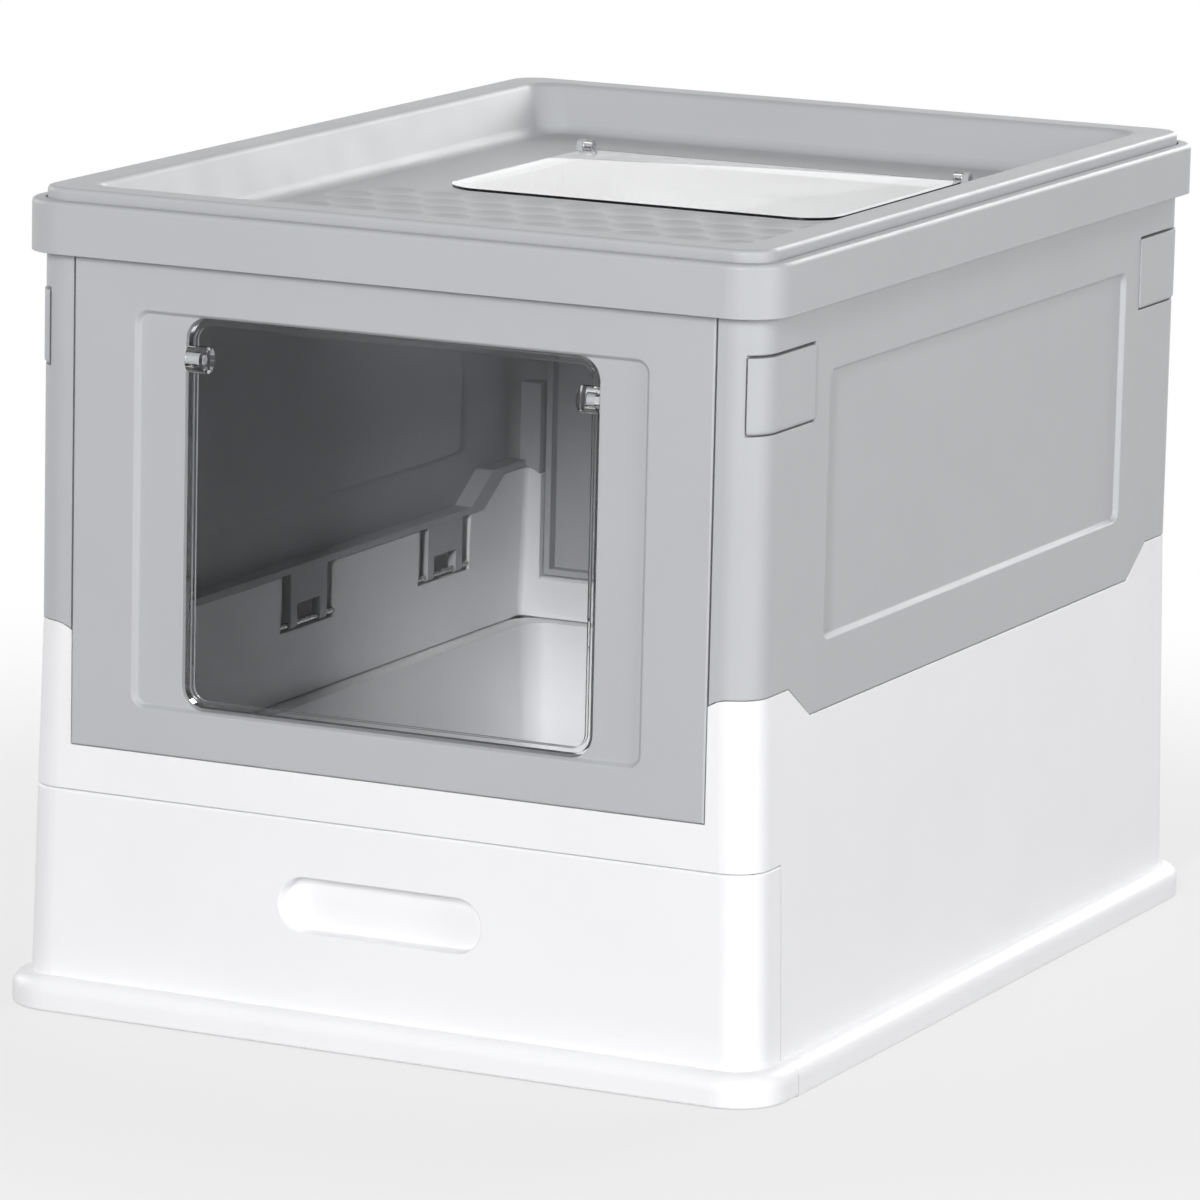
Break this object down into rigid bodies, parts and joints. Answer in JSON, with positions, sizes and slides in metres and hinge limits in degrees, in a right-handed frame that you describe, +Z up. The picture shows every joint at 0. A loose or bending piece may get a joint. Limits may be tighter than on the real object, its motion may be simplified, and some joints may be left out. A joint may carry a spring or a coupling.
{
  "type": "covered litter box",
  "caption": "Fold-flat covered litter box with a pull-out tray drawer, a clear swing door, corner latches and a tray lid with a clear top exit flap.",
  "frame": {"origin": "on the floor at the middle of the base's footprint", "axes": "+Z up, -Y towards the doorway and the drawer front, +X to the right seen from the front"},
  "size_m": [0.355, 0.466, 0.346],
  "materials": {
    "grey_plastic": "fine matte moulding grain, light grey",
    "white_plastic": "smooth satin moulding, white",
    "clear_plastic": "clear polished sheet with a faint smoke tint",
    "steel": "plain drawn pin"
  },
  "bodies": {
    "base": {"base_tub": "white_plastic", "left_panel": "grey_plastic", "right_panel": "grey_plastic", "left_panel_hinge_pins": "steel", "right_panel_hinge_pins": "steel", "front_panel_hinge_pins": "steel", "rear_panel_hinge_pins": "steel", "corner_latch_pin_front_right": "steel", "corner_latch_pin_front_left": "steel", "corner_latch_pin_rear_right": "steel", "corner_latch_pin_rear_left": "steel"},
    "drawer": {"drawer_front": "white_plastic", "litter_tray": "white_plastic"},
    "lid": {"lid": "grey_plastic", "top_flap_pin_left": "steel", "top_flap_pin_right": "steel"},
    "top_flap": {"top_flap": "clear_plastic"},
    "front_panel": {"front_panel": "grey_plastic", "front_flap_pin_left": "grey_plastic", "front_flap_pin_right": "grey_plastic"},
    "front_flap": {"front_flap": "clear_plastic"},
    "rear_panel": {"rear_panel": "grey_plastic"},
    "latch_front_right": {"corner_latch_front_right": "grey_plastic"},
    "latch_front_left": {"corner_latch_front_left": "grey_plastic"},
    "latch_rear_right": {"corner_latch_rear_right": "grey_plastic"},
    "latch_rear_left": {"corner_latch_rear_left": "grey_plastic"}
  },
  "joints": [
    {"name": "drawer_slide", "type": "slide", "parent": "base", "child": "drawer", "axis": [0, -1, 0], "range_m": [0, 0.36]},
    {"name": "lid_lift", "type": "slide", "parent": "base", "child": "lid", "axis": [0, 0, 1], "range_m": [0, 0.15]},
    {"name": "top_flap_hinge", "type": "hinge", "parent": "lid", "child": "top_flap", "pos_m": [0, 0.143, 0.3279], "axis": [-1, 0, 0], "range_deg": [0, 100]},
    {"name": "front_panel_fold", "type": "hinge", "parent": "base", "child": "front_panel", "pos_m": [0, -0.2153, 0.109], "axis": [-1, 0, 0], "range_deg": [0, 90]},
    {"name": "front_flap_swing", "type": "hinge", "parent": "front_panel", "child": "front_flap", "pos_m": [0, -0.2205, 0.28], "axis": [-1, 0, 0], "range_deg": [-80, 80]},
    {"name": "rear_panel_fold", "type": "hinge", "parent": "base", "child": "rear_panel", "pos_m": [0, 0.2153, 0.109], "axis": [1, 0, 0], "range_deg": [0, 90]},
    {"name": "latch_front_right_pull", "type": "hinge", "parent": "base", "child": "latch_front_right", "pos_m": [0.1637, -0.195, 0.274], "axis": [0, 1, 0], "range_deg": [0, 50]},
    {"name": "latch_front_left_pull", "type": "hinge", "parent": "base", "child": "latch_front_left", "pos_m": [-0.1637, -0.195, 0.274], "axis": [0, -1, 0], "range_deg": [0, 50]},
    {"name": "latch_rear_right_pull", "type": "hinge", "parent": "base", "child": "latch_rear_right", "pos_m": [0.1637, 0.195, 0.274], "axis": [0, 1, 0], "range_deg": [0, 50]},
    {"name": "latch_rear_left_pull", "type": "hinge", "parent": "base", "child": "latch_rear_left", "pos_m": [-0.1637, 0.195, 0.274], "axis": [0, -1, 0], "range_deg": [0, 50]}
  ]
}
